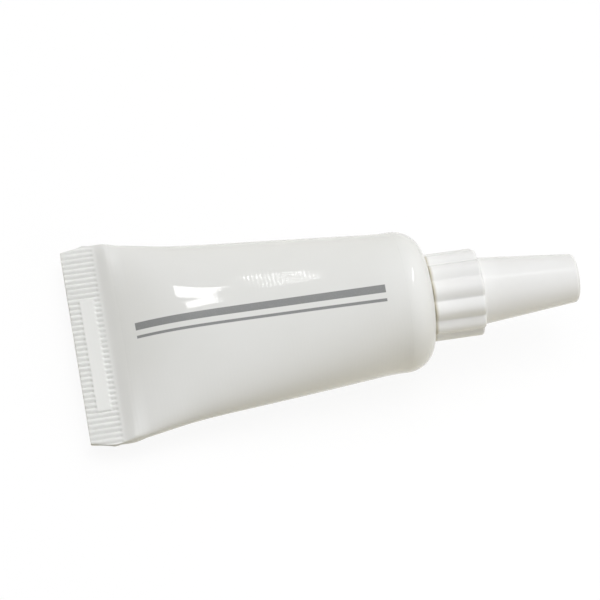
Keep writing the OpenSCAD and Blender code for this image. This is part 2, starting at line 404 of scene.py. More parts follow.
def cells(tree, vector, per_mm):
    """The distance to the nearest of many scattered points, as in foam."""
    texture = tree.nodes.new("ShaderNodeTexVoronoi")
    tree.links.new(vector, texture.inputs["Vector"])
    texture.inputs["Scale"].default_value = per_mm
    return Field(tree, texture.outputs["Distance"])


print("patterns can be made")

# %% [markdown]
# ### Colour, roughness and height
# Patterns reach the shader in three ways: they blend two colours, they add to the roughness, and they
# are heights that a Bump node turns into shading. Only heights that are too fine for the mesh go there.


# %% Blend colours and dress a shader
def blend_colours(tree, share, first, second):
    """A colour between two others, which are colours or sockets."""
    mix = tree.nodes.new("ShaderNodeMix")
    mix.data_type = "RGBA"
    share.into(mix.inputs[0])
    for slot, colour in ((mix.inputs[6], first), (mix.inputs[7], second)):
        if isinstance(colour, bpy.types.NodeSocket):
            tree.links.new(colour, slot)
        else:
            slot.default_value = (*colour, 1)
    return mix.outputs[2]


def dress(tree, shader, colour, roughness, height_mm):
    """Gives a shader its colour, its roughness and a bump from a height in millimetres."""
    tree.links.new(colour, shader.inputs["Base Color"])
    roughness.into(shader.inputs["Roughness"])
    bump = tree.nodes.new("ShaderNodeBump")
    bump.inputs["Distance"].default_value = MM
    height_mm.into(bump.inputs["Height"])
    tree.links.new(bump.outputs[0], shader.inputs["Normal"])


print("shaders can be dressed")

# %% [markdown]
# ## What all the plastics share
# Polyethylene and polypropylene look alike: white, a little cloudy, with a fine grain from the mould and
# faint scuffs from handling. Several finishes use these effects with their own values, so each effect is
# a shader group. A copy of its nodes in each material would work too, but a group is changed in one place.


# %% Make and use a shader group
def new_group(name, inputs, outputs):
    """A shader group that reads a place and some numbers and puts out masks."""
    group = bpy.data.node_groups.new(name, "ShaderNodeTree")
    socket = group.interface.new_socket
    socket("Place", in_out="INPUT", socket_type="NodeSocketVector")
    for label, value in inputs.items():
        socket(label, in_out="INPUT", socket_type="NodeSocketFloat").default_value = value
    for label in outputs:
        socket(label, in_out="OUTPUT", socket_type="NodeSocketFloat")
    return group, group.nodes.new("NodeGroupInput").outputs, group.nodes.new("NodeGroupOutput").inputs


def use_group(tree, group, place, **values):
    """The group's outputs as fields, with the material's own values."""
    node = tree.nodes.new("ShaderNodeGroup")
    node.node_tree = group
    tree.links.new(place, node.inputs["Place"])
    for label, value in values.items():
        node.inputs[label.replace("_", " ").capitalize()].default_value = value
    return {s.name: Field(tree, s) for s in node.outputs}


print("groups can be made")

# %% [markdown]
# ### Moulded skin and handling marks
# The skin of a moulding has grain and clouds, which are noise of two sizes. Marks from handling are
# scarce and drawn out, some along the tube and some at a slant, so they are the peaks of stretched noise.

# %% The two groups
rates = {"Grain per mm": 6.0, "Cloud per mm": 0.15}
skin, given, made = new_group("Moulded skin", rates, ("Grain", "Cloud"))
noise(skin, given["Place"], Field(skin, given["Grain per mm"]), detail=3).into(made["Grain"])
noise(skin, given["Place"], Field(skin, given["Cloud per mm"]), detail=2).into(made["Cloud"])

marks, given, made = new_group("Handling marks", {"Marks per mm": 0.9}, ("Scuff",))
often = Field(marks, given["Marks per mm"])
askew_rate = 1.3
along = noise(marks, given["Place"], often, detail=3, stretch=(1, 3.5, 0.25))
askew = noise(marks, given["Place"], often * askew_rate, detail=3, stretch=(0.4, 0.5, 2.6))
along_level, askew_level, mark_edge = 0.62, 0.64, 9
lengthways = ((along - along_level) * mark_edge).clip()
slanted = ((askew - askew_level) * mark_edge).clip()
lengthways.most(slanted).into(made["Scuff"])
print("groups:", skin.name, "and", marks.name)

# %% [markdown]
# ## The sleeve's finish
# The sleeve is drawn from soft polyethylene. It is glossy enough to show a lamp, but fine ripples across
# it fray the reflection, and a few straight lines run along it from the die. These are far too fine for
# the mesh, so they are heights in the finish. Near the crimp the hot jaws have left the skin satin.

# %% White polyethylene
sleeve_white, tree, shader, place = new_finish("sleeve_white")
x, y, z = parts_of(tree, place)
skin_of = use_group(tree, skin, place, Grain_per_mm=5.0, Cloud_per_mm=0.12)
scuff = use_group(tree, marks, place, Marks_per_mm=0.8)["Scuff"]
die_line = noise(tree, place, per_mm=1.0, detail=1, stretch=(1.8, 1.8, 0.015))
ripple_rate, ripple_drift = 14, 8
ripple = (z * ripple_rate + noise(tree, place, per_mm=0.4) * ripple_drift).cos()
satin_from, satin_fade = -29.6, 2
satin = ((z - satin_from) / -satin_fade).ease()
clear_white, cloudy_white = (0.80, 0.80, 0.785), (0.765, 0.77, 0.745)
white = blend_colours(tree, skin_of["Cloud"], clear_white, cloudy_white)
print("ripples every %.2f mm" % (math.tau / ripple_rate))

# %% [markdown]
# ## The print
# Two plain grey rules are printed where such a tube carries its print. They could be thin strips of mesh
# or an image, but ink has no height that one could see, and a mask from a sum stays sharp at any
# distance. The mask is the distance from a line that runs along the tube and follows its bulge a little.

# %% Two printed rules
rule_from, rule_to = -29.9, -2.4
rule_bow, rule_lean, rule_y = 0.2, 0.0428, -0.9
# Each rule: its distance from the line, and half its width
rules = ((0.45, 0.46), (-0.85, 0.17))
rule_edge = 0.03
ink_grey, ink_cover, ink_grain = (0.27, 0.275, 0.275), 0.9, 0.2
print_line = rule_bow * x - rule_lean * z + rule_y
inside_ends = ((z - rule_from) / rule_edge).clip() * ((rule_to - z) / rule_edge).clip()
upper_side = (x * -1).clip()
bands = [((half - abs(y - print_line - aside)) / rule_edge + 0.5).clip() for aside, half in rules]
cover = (ink_cover + skin_of["Grain"] * ink_grain).clip()
ink = (bands[0] + bands[1]).clip() * (inside_ends * upper_side) * cover
inked = blend_colours(tree, ink, white, ink_grey)
print(len(rules), "rules,", round(rule_to - rule_from, 1), "mm long")

# %% [markdown]
# ### The sleeve put together
# The plain skin is the glossiest of all surfaces here. Clouds and scuffs dull it very little, the ink
# and the crimp dull it more. The heights are in millimetres, all far below a hair's breadth.

# %% Gloss and fine heights of the sleeve
rough_base, rough_cloud, rough_scuff, rough_ink, rough_satin = 0.02, 0.02, 0.02, 0.15, 0.25
roughness = rough_base + skin_of["Cloud"] * rough_cloud + scuff * rough_scuff
roughness = roughness + ink * rough_ink + satin * rough_satin
ripple_mm, die_line_mm, grain_mm = 0.0005, 0.001, 0.0002
height = ripple * ripple_mm + die_line * die_line_mm + skin_of["Grain"] * grain_mm
dress(tree, shader, inked, roughness, height)
print(sleeve_white.name)

# %% [markdown]
# ## The sleeve
# The sleeve starts as a round tube and ends as a flat strip, and the girth of its wall can't change on
# the way. So each section is an oval, and its width follows from its thickness. It could be pulled into
# shape by hand from a cylinder, but its girth would then be a guess. A rule in one Geometry Nodes tree
# keeps it, and makes the crimp's ribs, slanted corners and smooth window in the same surface. The sizes
# come first: they are the tree's named inputs.

# %% The sleeve's sizes
sleeve_wall, tuck = 0.45, 0.02
sleeve_l, crimp_l, round_l, bend_l, belly_run = 36.7, 3.8, 0.6, 2.5, 15.5
middle_r = sleeve_r - sleeve_wall / 2
outer = sleeve_wall / 2 - tuck
crimp_z = crimp_l - sleeve_l
crimp_half_w, rib_count, columns_per_rib, rib_gap = 12.62, 39, 8, 0.3
window_w, window_from_end = 1.65, 1.2

sleeve_sizes = {
    "Columns": 2 * rib_count * columns_per_rib + 1,
    "Middle radius": middle_r,
    "Round length": round_l,
    "Bend length": bend_l,
    "Straight length": belly_run,
    "Taper length": -crimp_z - round_l - bend_l - belly_run,
    "Belly slope": math.tan(math.asin(axis.z)),
    "Press depth": 0.25,
    "Belly face": outer,
    "Crimp slope": math.tan(math.radians(37)),
    "Crimp half thickness": sleeve_wall - outer,
    "Fullness": 0.5,
    "Crimp power": 6.0,
    "Crimp bend": 0.3,
    "Crimp start": crimp_z,
    "End": -sleeve_l,
    "Corner length": 2.6,
    "Corner cut": 0.55,
    "Crimp spread": 0.15,
    "Rib pitch": 2 * crimp_half_w / rib_count,
    "Rib depth": 0.21,
    "Rib start": crimp_z - rib_gap,
    "Rib fade": 0.14,
    "Window middle": -1.5,
    "Window half length": 6.9,
    "Window height": window_from_end + window_w / 2 - sleeve_l,
    "Window half width": window_w / 2,
    "Window edge": 0.2,
    "Window rise": 0.018,
    "Dent depth": 0.06,
    "Dents per mm": 0.11,
}
tree, given = new_tree("Sleeve wall", sleeve_sizes)
mesh, (out, full, z), share = rows_and_columns(tree, given)
size = {name: Field(tree, given[name]) for name in sleeve_sizes}
print(len(sleeve_sizes), "sizes,", sleeve_sizes["Columns"], "columns")

# %% [markdown]
# ### Thickness and width
# Seen from the side, the sleeve is round at first, bends, runs straight along its belly, and then curves
# into the crimp. The curve leaves the belly at the belly's slope and meets the crimp at the crimp's
# slope, and the corner at the crimp is rounded. The width comes from a common formula for the girth of
# an oval, solved for its longer half.

# %% Half the thickness and half the width of the oval
slope, taper = size["Belly slope"], size["Taper length"]
down = (z + size["Round length"]) * -1
bend = down.clip(0, size["Bend length"])
run = (down - size["Bend length"]).clip(0, size["Straight length"])
flat = ((down - size["Bend length"] - size["Straight length"]) / taper).clip()
run_end = size["Middle radius"] - slope * (size["Straight length"] + size["Bend length"] * 0.5)
thick = size["Middle radius"] - slope * (bend * bend / (size["Bend length"] * 2) + run)
thick = thick + flat.ease() * (size["Crimp half thickness"] - run_end)
thick = thick - taper * flat * (1 - flat) * (slope * (1 - flat) - size["Crimp slope"] * flat)
slant = abs(z - size["Crimp start"]) * size["Crimp slope"]
thick = thick + ((slant * slant + size["Crimp bend"] * size["Crimp bend"]).root() - slant) * 0.5

girth = size["Middle radius"] * 2
half = girth * 3 - thick * 4
wide = (half + (half * half - (thick * thick * 6 - girth * thick * 6 + girth * girth) * 6).root()) / 6
print(len(tree.nodes), "nodes up to the oval")

# %% [markdown]
# ### From oval to strip
# The oval gets fuller as it flattens, and turns into a strip with blunt edges at the crimp. One power
# does both: 2 is an oval, and higher powers are nearer to a box. The columns start at even angles around
# the tube and end at even distances across the crimp, so that each rib gets the same number of them.


# %% The section's shape
def rise(value, start, end):
    """0 before the start, 1 after the end, and a soft change between them."""
    return ((value - start) / (end - start)).ease()


oval_power = 2
even_from, full_from, full_to, strip_from = 0.5, 0.4, 0.95, 0.82
side = (0.5 - share).math("SIGN")
round_way = (share * math.tau).cos()
even_way = abs(share * 4 - 2) - 1
way = round_way + rise(flat, even_from, 1) * (even_way - round_way)
fuller = rise(flat, full_from, full_to) * size["Fullness"]
power = oval_power + fuller + rise(flat, strip_from, 1) * (size["Crimp power"] - oval_power - fuller)
swell = (1 - abs(way) ** power).clip() ** power.math("POWER", -1)
print(len(tree.nodes), "nodes up to the strip")

# %% [markdown]
# ### Corners and dents
# The crimp widens a little towards its end, where its corners are cut off at a slant. The wall is soft,
# so it isn't quite even: shallow dents are pushed in by smooth noise. They could be sculpted, but noise
# is the same in each run, and it fades out towards the shoulder and the crimp, which hold the wall.

# %% Across, and in and out
corner = (1 - (z - size["End"]) / size["Corner length"]).clip() * size["Corner cut"]
spread_l = size["Crimp start"] - size["End"] - size["Corner length"]
spread = ((size["Crimp start"] - z) / spread_l).clip() * size["Crimp spread"]
y = (wide + out + spread - corner) * way

dent_reach, held_by_shoulder, held_by_crimp = 6, 6, 0.7
spot = tree.nodes.new("ShaderNodeCombineXYZ")
for value, slot in zip((side * swell * dent_reach, y, z), spot.inputs):
    value.into(slot)
lumps = noise(tree, spot.outputs[0], size["Dents per mm"], 1)
soft = rise(down, 0, held_by_shoulder) * (1 - rise(flat, held_by_crimp, 1))
dent = lumps * size["Dent depth"] * soft * swell
x = ((thick + out) * swell - dent) * full
print(len(tree.nodes), "nodes up to the dents")

# %% [markdown]
# ### Ribs, window and belly
# The jaws press ribs into both faces of the crimp, and leave a smooth window in the upper one. The ribs
# repeat, so they are a wave across the strip, with crests that are broader than the grooves. The table
# presses the soft belly flat: where the wall would go past a plane, the plane counts.

# %% Ribs, window and the end of the rule
groove_power = 1.4
from_groove = abs((y / size["Rib pitch"] + 0.5).math("FRACT") - 0.5)
wave = ((from_groove * math.tau).cos() * 0.5 + 0.5) ** groove_power
ribbed = ((size["Rib start"] + size["Rib fade"] - z) / (size["Rib fade"] * 2)).ease()
long_gap = size["Window half length"] - abs(y - size["Window middle"])
wide_gap = size["Window half width"] - abs(z - size["Window height"])
in_length, in_width = ((gap / size["Window edge"] + 0.5).ease() for gap in (long_gap, wide_gap))
window = in_length * in_width * (1 - side) * 0.5
x = x - (size["Rib depth"] * wave * ribbed * (1 - window) - size["Window rise"] * window) * swell * full

belly = size["Middle radius"] - slope * (down - size["Bend length"] * 0.5)
pressed = belly - size["Press depth"] + out.least(size["Belly face"])
sleeve_rule = end_tree(tree, given, mesh, ((side * x).least(pressed), y, z))
print(len(tree.nodes), "nodes in the sleeve's rule")

# %% [markdown]
# ### The sleeve's rows
# The outline of the wall is a list of rows. A row gives how far the surface lies outside the middle of
# the wall, whether it is open or closed to a line, and its height. The rows run up the inside, over the
# lip and down the outside to the end of the crimp, so the wall has its real thickness. They are closest
# in the crimp, where the shape changes fastest.


# %% Rows of the wall
def steps(start, end, count):
    """Values from a start to an end in so many equal steps."""
    return [start + (end - start) * i / count for i in range(count + 1)]


seal_l, lip_inset, end_edge, end_inset, strip_l = 0.5, 0.006, 0.05, 0.06, 1.2
inside_steps, wall_steps, strip_steps = 14, 52, 44
ring = sleeve_wall / 2 - lip_inset
seal_z, strip_z = crimp_z + seal_l, crimp_z + strip_l
rows = [(-outer, 0, seal_z)]
rows += [(-outer, 1, z) for z in steps(seal_z, -round_l, inside_steps)]
rows += [(-ring, 1, 0), (ring, 1, 0), (ring, 1, -round_l / 2)]
rows += [(outer, 1, z) for z in steps(-round_l, strip_z, wall_steps)[:-1]]
rows += [(outer, 1, z) for z in steps(strip_z, end_edge - sleeve_l, strip_steps)]
rows += [(outer - end_inset, 1, -sleeve_l), (outer - end_inset, 0, -sleeve_l)]
settle("sleeve", [grow(sleeve_rule, rows, sleeve_white)], "tube", "tube_sleeve")

# %% [markdown]
# ## The head's finish
# The head closes the round end. It is moulded from a stiffer polyethylene than the sleeve, in the same
# white. It has no ripples, only the mould's grain, so it uses the same groups with finer values.

# %% Moulded polyethylene
head_white, tree, shader, place = new_finish("head_white")
skin_of = use_group(tree, skin, place, Grain_per_mm=7.0, Cloud_per_mm=0.2)
scuff = use_group(tree, marks, place, Marks_per_mm=1.0)["Scuff"]
colour = blend_colours(tree, skin_of["Cloud"], clear_white, cloudy_white)
rough_base, rough_cloud, rough_scuff, grain_mm = 0.06, 0.04, 0.03, 0.0025
roughness = rough_base + skin_of["Cloud"] * rough_cloud + scuff * rough_scuff
dress(tree, shader, colour, roughness, skin_of["Grain"] * grain_mm)
print(head_white.name)

# %% [markdown]
# ## Turned pieces
# The head, the cap and the sealing disc are all round about the axis, so they share one tree: each point
# of the outline gives a radius and a height, and the columns carry it around. A Screw modifier would do
# for plain ones. But the cap's collar has grip lobes, a wave with broad crests and narrower grooves. A
# third number in the outline says how much of the wave a row takes, so that the collar is lobed and the
# nose and the bore stay round.

# %% The rule for turned pieces
lobe_count, columns_per_lobe = 12, 20
turned_sizes = {
    "Columns": lobe_count * columns_per_lobe + 1,
    "Lobes": float(lobe_count),
    "Lobe depth": 0.48,
    "Lobe power": 0.55,
    "Lobe turn": math.radians(3.5),
}
tree, given = new_tree("Turned piece", turned_sizes)
mesh, (radius, lobed, z), share = rows_and_columns(tree, given)
size = {name: Field(tree, given[name]) for name in turned_sizes}
angle = share * math.tau
lobe_wave = ((angle - size["Lobe turn"]) * size["Lobes"]).cos()
crest = (0.5 - lobe_wave * 0.5).clip() ** size["Lobe power"]
radius = radius - lobed * size["Lobe depth"] * (1 - crest)
turned_rule = end_tree(tree, given, mesh, (radius * angle.cos(), radius * angle.sin(), z))
print(len(tree.nodes), "nodes in the turned rule")

# %% [markdown]
# ## Threads
# The neck has a thread outside and the cap has one inside. A thread is a ridge that follows a helix. A
# curve with a profile could make it, and here a grid does it too: the rows go around the ridge's section
# and the columns go along the path. The ridge shrinks to a point at both ends, as a moulded thread runs
# out, which also closes the mesh.

# %% The rule for threads
thread_lead, thread_depth = 2.0, 0.45
thread_sizes = {
    "Columns": 160,
    "Root radius": 3.6,
    "Lead": thread_lead,
    "Turns": 2.0,
    "Start": 2.7,
    "Fade": 0.12,
}
tree, given = new_tree("Thread", thread_sizes)
mesh, (height, _, width), share = rows_and_columns(tree, given)
size = {name: Field(tree, given[name]) for name in thread_sizes}
fade = (share.least(1 - share) / size["Fade"]).ease()
angle = share * size["Turns"] * math.tau
radius = size["Root radius"] + height * fade
z = size["Start"] + size["Lead"] * size["Turns"] * share + width * fade
thread_rule = end_tree(tree, given, mesh, (radius * angle.cos(), radius * angle.sin(), z))


def ridge(depth, sunk=0.12, base=0.42, crest=0.17):
    """The section of a thread, which stands on a wall and is sunk into it a little."""
    root = math.copysign(sunk, -depth)
    corners = [(root, 0, -base), (depth, 0, -crest), (depth, 0, crest), (root, 0, base)]
    return corners + corners[:1]


print(len(tree.nodes), "nodes in the thread's rule")

# %% [markdown]
# ## The head
# The shoulder is what shows of the head: a dome, in section a quarter of an ellipse, up to a flat land.
# It starts flush with the sleeve. Under the cap the head carries a threaded neck and a long nozzle, with
# a channel through both. They are one moulding, so the outline goes once around the whole section, and
# the turned rule carries it around.


# %% Points on arcs and straight lines
def arc(centre, r, start, end, count):
    """Points on an arc about a centre, from one angle to another in degrees, with no lobes."""
    angles = [math.radians(a) for a in steps(start, end, count)]
    return [(centre[0] + r * math.cos(a), 0, centre[1] + r * math.sin(a)) for a in angles]


def straight(first, last, count):
    """Points between two others, which are left out themselves, with no lobes."""
    pairs = zip(steps(first[0], last[0], count), steps(first[1], last[1], count))
    return [(r, 0, z) for r, z in pairs][1:-1]


neck_r, neck_l, channel_r = 3.6, 5.0, 2.0
nozzle_base_r, nozzle_tip_r, nozzle_l, orifice_r = 2.5, 1.55, 10.0, 0.75
neck_z = land_z + neck_l
mouth_z = neck_z + nozzle_l
print("the nozzle's mouth is %.1f mm above the shoulder's foot" % mouth_z)

# %% [markdown]
# ### The head's outline
# The outline starts at the skirt, which is inside the sleeve, and goes up over the dome, the neck and the
# nozzle to the mouth. From there it comes back down the channel and along the inside of the shoulder.
# Small arcs stand for the edges of a moulding, which are never quite sharp.

# %% Shoulder, neck and nozzle
skirt_l, skirt_t, weld_gap, shoulder_t = 0.45, 0.8, 0.03, 0.9
dome_r, dome_end_angle, dome_steps = 3.0, 88, 22
seam, land_drop, land_margin = 0.003, 0.01, 0.25
neck_edge, nozzle_edge, nozzle_end, orifice_edge = 0.2, 0.25, 0.3, 0.08
skirt_r = sleeve_r - sleeve_wall - weld_gap
skirt_in_r = skirt_r - skirt_t
inside_z = cone_z + (cone_r - skirt_in_r) * math.tan(shoulder_angle) - shoulder_t
dome_h = land_z - land_drop - seam

head_rows = [(skirt_r, 0, -skirt_l), (skirt_r, 0, seam)]
for dome_angle in steps(0, dome_end_angle, dome_steps):
    a = math.radians(dome_angle)
    head_rows.append((middle_r + ring - dome_r * (1 - math.cos(a)), 0, seam + dome_h * math.sin(a)))
head_rows += [(neck_r + land_margin, 0, land_z)]
head_rows += arc((neck_r + neck_edge, land_z + neck_edge), neck_edge, 270, 180, 4)
head_rows += arc((neck_r - neck_edge, neck_z - neck_edge), neck_edge, 0, 90, 4)
head_rows += arc((nozzle_base_r + neck_edge, neck_z + neck_edge), neck_edge, 270, 180, 4)
head_rows += straight((nozzle_base_r, neck_z), (nozzle_tip_r, mouth_z), 6)
head_rows += [(nozzle_tip_r, 0, mouth_z - nozzle_end)]
head_rows += arc((nozzle_tip_r - nozzle_edge, mouth_z - nozzle_edge), nozzle_edge, 10, 90, 5)
head_rows += [(orifice_r + orifice_edge, 0, mouth_z), (orifice_r, 0, mouth_z - orifice_edge)]
head_rows += [(channel_r, 0, neck_z - shoulder_t), (channel_r, 0, land_z - shoulder_t)]
head_rows += [(land_r, 0, land_z - shoulder_t), (skirt_in_r, 0, inside_z)]
head_rows += [(skirt_in_r, 0, -skirt_l), (skirt_r, 0, -skirt_l)]

thread_rise = 0.65
thread_z = land_z + thread_rise
shell = grow(turned_rule, head_rows, head_white)
thread = grow(thread_rule, ridge(thread_depth), head_white, root_radius=neck_r, start=thread_z, turns=1.95)
settle("head", [shell, thread], "tube", "shoulder_nozzle")

# %% [markdown]
# ## The cap's finish
# The cap is polypropylene: whiter and stiffer than the tube, with a satin skin. Its lobes are rubbed a
# little by fingers. Towards its rim the colour carries a painted shade, brown-grey, where shade falls in
# the narrow gap between the cap and the shoulder. The rim's height is known, so a sum on the height gives
# it.

# %% Satin polypropylene
cap_white, tree, shader, place = new_finish("cap_white")
height_on_cap = parts_of(tree, place)[2]
skin_of = use_group(tree, skin, place, Grain_per_mm=8.0, Cloud_per_mm=0.25)
scuff = use_group(tree, marks, place, Marks_per_mm=1.2)["Scuff"]
# The last colour is the brown-grey of a painted shade at the rim.
clear_cap, cloudy_cap, rim_shade_brown = (0.813, 0.813, 0.808), (0.788, 0.788, 0.773), (0.55, 0.51, 0.41)
colour = blend_colours(tree, skin_of["Cloud"], clear_cap, cloudy_cap)
# Painted shade: the colour darkens to brown-grey over the last part above the rim, where the cap meets the
# shoulder.
rim_shade_l, rim_shade_power = 0.35, 1.5
painted_rim_shade = (1 - (height_on_cap - rim_z) / rim_shade_l).clip() ** rim_shade_power
colour = blend_colours(tree, painted_rim_shade, colour, rim_shade_brown)
rough_base, rough_cloud, rough_scuff, grain_mm = 0.14, 0.06, 0.05, 0.003
roughness = rough_base + skin_of["Cloud"] * rough_cloud + scuff * rough_scuff
dress(tree, shader, colour, roughness, skin_of["Grain"] * grain_mm)
# The printed length is how far the painted shade reaches above the rim.
print(cap_white.name, "with grime on", rim_shade_l, "mm")

# %% [markdown]
# ## The cap
# The cap is a collar with twelve grip lobes and a long tapered nose. Its bore takes the neck, and the
# inside of the nose takes the nozzle. It could be cut from a cone and a cylinder, but one outline gives
# the same walls with rounded edges. This cell draws the inside, from the sealing disc's seat to the rim.

# %% Inside of the cap
bore_r, roof_gap, mouth_chamfer = 4.2, 0.3, 0.2
nozzle_gap, liner_r, liner_t, liner_gap = 0.35, 1.75, 1.0, 0.05
rim_reach = 0.09
low_rim_z = rim_z - rim_reach
bore_z = neck_z + roof_gap
liner_z = mouth_z + liner_gap
seat_z = liner_z + liner_t + liner_gap
seat_r = liner_r + liner_gap
nose_in_base_r, nose_in_tip_r = nozzle_base_r + nozzle_gap, nozzle_tip_r + nozzle_gap

cap_rows = [(0, 0, seat_z), (seat_r, 0, seat_z), (seat_r, 0, mouth_z), (nose_in_tip_r, 0, mouth_z)]
cap_rows += [(nose_in_base_r, 0, bore_z), (bore_r, 0, bore_z)]
cap_rows += [(bore_r, 0, rim_z + mouth_chamfer), (bore_r + mouth_chamfer, 0, low_rim_z)]
print(len(cap_rows), "rows inside the cap")

# %% [markdown]
# ### Outside of the cap
# The outline goes on around the rim and up the collar, where its rows take the lobes in full. A fillet
# leads into the nose, which tapers to a rounded edge.


# %% Collar and nose
def with_lobes(points):
    """The same points, with the lobes in full."""
    return [(r, 1, z) for r, _, z in points]


crest_r, collar_roof, nose_base_wall, nose_tip_wall = 4.98, 0.65, 0.98, 0.88
nose_end_wall, tip_inset = 1.2, 0.002
rim_edge_r, collar_edge_r, nose_fillet_r, nose_edge_r = 0.15, 0.35, 0.35, 0.5
collar_z = bore_z + collar_roof
tip_z = seat_z + nose_end_wall - tip_inset
nose_top_z = tip_z - nose_edge_r
nose_base_r, nose_tip_r = nose_in_base_r + nose_base_wall, nose_in_tip_r + nose_tip_wall
lean = (nose_base_r - nose_tip_r) / (tip_z - collar_z)
fillet_at = (nose_base_r + nose_fillet_r * (1 - lean), collar_z + nose_fillet_r)

cap_rows += with_lobes(arc((crest_r - rim_edge_r, low_rim_z + rim_edge_r), rim_edge_r, -90, 0, 5))
cap_rows += with_lobes(straight((crest_r, rim_z), (crest_r, collar_z), 6))
cap_rows += with_lobes(arc((crest_r - collar_edge_r, collar_z - collar_edge_r), collar_edge_r, 0, 90, 9))
cap_rows += arc(fillet_at, nose_fillet_r, 270, 180, 7)
foot_r, _, foot_z = cap_rows[-1]
cap_rows += straight((foot_r, foot_z), (nose_tip_r, nose_top_z), 8)
cap_rows += arc((nose_tip_r - nose_edge_r, nose_top_z), nose_edge_r, 0, 90, 9)
print("the collar is %.1f mm wide, the nose ends at %.1f mm" % (2 * crest_r, tip_z))

# %% [markdown]
# ### Tip and thread of the cap
# At the tip is the mark of the gate, where the plastic came into the mould: a shallow round hollow with
# a stub in its middle. The thread in the bore lies half a lead above the neck's, in the middle of its
# gaps, so the two don't touch.

# %% Gate mark, thread and the whole cap
gate_r, gate_edge, gate_depth = 0.55, 0.08, 0.12
stub_r, stub_top_r, stub_drop, stub_top_drop = 0.2, 0.14, 0.04, 0.03
gate_z = tip_z - gate_depth
cap_rows += [(gate_r, 0, tip_z), (gate_r - gate_edge, 0, gate_z), (stub_r, 0, gate_z)]
cap_rows += [(stub_top_r, 0, tip_z - stub_drop), (0, 0, tip_z - stub_top_drop)]

shell = grow(turned_rule, cap_rows, cap_white)
between = thread_z + thread_lead / 2
thread = grow(thread_rule, ridge(-thread_depth), cap_white, root_radius=bore_r, start=between, turns=1.55)
settle("cap", [shell, thread], "cap", "screw_cap")

# %% [markdown]
# ## The disc's finish
# The sealing disc is cut from closed-cell foam, pale and matt. Its cells show as small round hollows. A
# mesh of hollows would be far too heavy, and the texture of cells gives them as heights.

# %% Foam
foam, tree, shader, place = new_finish("liner_foam")
skin_of = use_group(tree, skin, place, Grain_per_mm=9.0, Cloud_per_mm=0.6)
cell = cells(tree, place, per_mm=7)
pale_foam, grey_foam = (0.76, 0.785, 0.775), (0.70, 0.73, 0.725)
colour = blend_colours(tree, skin_of["Cloud"], pale_foam, grey_foam)
rough_base, rough_cell, cell_mm = 0.62, 0.2, 0.03
dress(tree, shader, colour, rough_base + cell * rough_cell, cell * cell_mm)
print(foam.name)

# %% [markdown]
# ## The sealing disc
# The disc sits in the end of the nose and seals the nozzle's mouth, which leaves a shallow ring in it. It
# could be a plain cylinder, but a turned outline gives it soft edges and that ring.

# %% Disc
soft_edge, ring_depth, ring_edge, ring_inset = 0.12, 0.05, 0.1, 0.15
liner_top_z = liner_z + liner_t
ring_out_r = nozzle_tip_r - ring_inset
disc_rows = [(0, 0, liner_z), (orifice_r, 0, liner_z), (orifice_r + ring_edge, 0, liner_z + ring_depth)]
disc_rows += [(ring_out_r - ring_edge, 0, liner_z + ring_depth), (ring_out_r, 0, liner_z)]
disc_rows += arc((liner_r - soft_edge, liner_z + soft_edge), soft_edge, -90, 0, 5)
disc_rows += arc((liner_r - soft_edge, liner_top_z - soft_edge), soft_edge, 0, 90, 5)
disc_rows += [(0, 0, liner_top_z)]
settle("sealing_disc", [grow(turned_rule, disc_rows, foam)], "seal", "cap_liner")

# %% [markdown]
# ## The grease's finish
# Grease is amber, wet and uneven: it is swirled by the filling, and small bubbles stay in it. Noise that
# is drawn out along the tube gives the swirls, and the same scattered points as in the foam, but far
# apart, give the bubbles.

# %% Amber grease
amber, tree, shader, place = new_finish("amber_grease")
swirl = noise(tree, place, per_mm=0.5, detail=3, stretch=(1, 1, 0.4))
bubble_r, bubble_mm, swirl_mm = 0.25, 0.08, 0.05
bubble = (bubble_r - cells(tree, place, per_mm=1.6)).clip()
light_amber, dark_amber = (0.72, 0.49, 0.14), (0.56, 0.34, 0.07)
colour = blend_colours(tree, swirl, light_amber, dark_amber)
rough_base, rough_swirl = 0.16, 0.14
dress(tree, shader, colour, rough_base + swirl * rough_swirl, swirl * swirl_mm - bubble * bubble_mm)
print(amber.name)

# %% [markdown]
# ## The grease
# Grease fills the sleeve and the head up to the nozzle's mouth. The sleeve's rule makes it as well: its
# rows lie a little inside the wall, and in the round end a row is a circle of any radius, so the same
# surface goes on through the head.

# %% Filling
fill_gap, fill_air, fill_step, fill_steps = 0.06, 1.5, 0.05, 30
fill_drop, fill_crown, fill_crown_share = 0.1, 0.06, 0.6
skin_depth = -sleeve_wall / 2 - fill_gap
fill_z = crimp_z + fill_air
fill_rows = [(skin_depth, 0, fill_z)]
fill_rows += [(skin_depth, 1, z) for z in steps(fill_z, -skirt_l - fill_step, fill_steps)]
plug = [(skirt_in_r, -skirt_l), (skirt_in_r, inside_z)]
plug += [(land_r, land_z - shoulder_t), (channel_r, land_z - shoulder_t)]
plug += [(channel_r, neck_z - shoulder_t), (orifice_r, mouth_z - fill_drop)]
fill_rows += [(r - fill_gap - middle_r, 1, z - fill_gap) for r, z in plug]
fill_rows += [(orifice_r * fill_crown_share - middle_r, 1, mouth_z - fill_drop)]
fill_rows += [(-middle_r, 1, mouth_z - fill_crown)]
filling = grow(sleeve_rule, fill_rows, amber, columns=97, rib_depth=0.0, window_rise=0.0)
settle("grease", [filling], "tube", "grease_fill")

# %% [markdown]
# ## Table
# The tube lies on a plain white table. A very bright lamp could bleach a floor, but it would bleach the
# tube too. So the table is white by itself where the camera sees it, and a small part of that white is
# lit by the lamps, so it keeps a faint shadow. To the tube it is a plain warm surface that throws some
# light back from below.


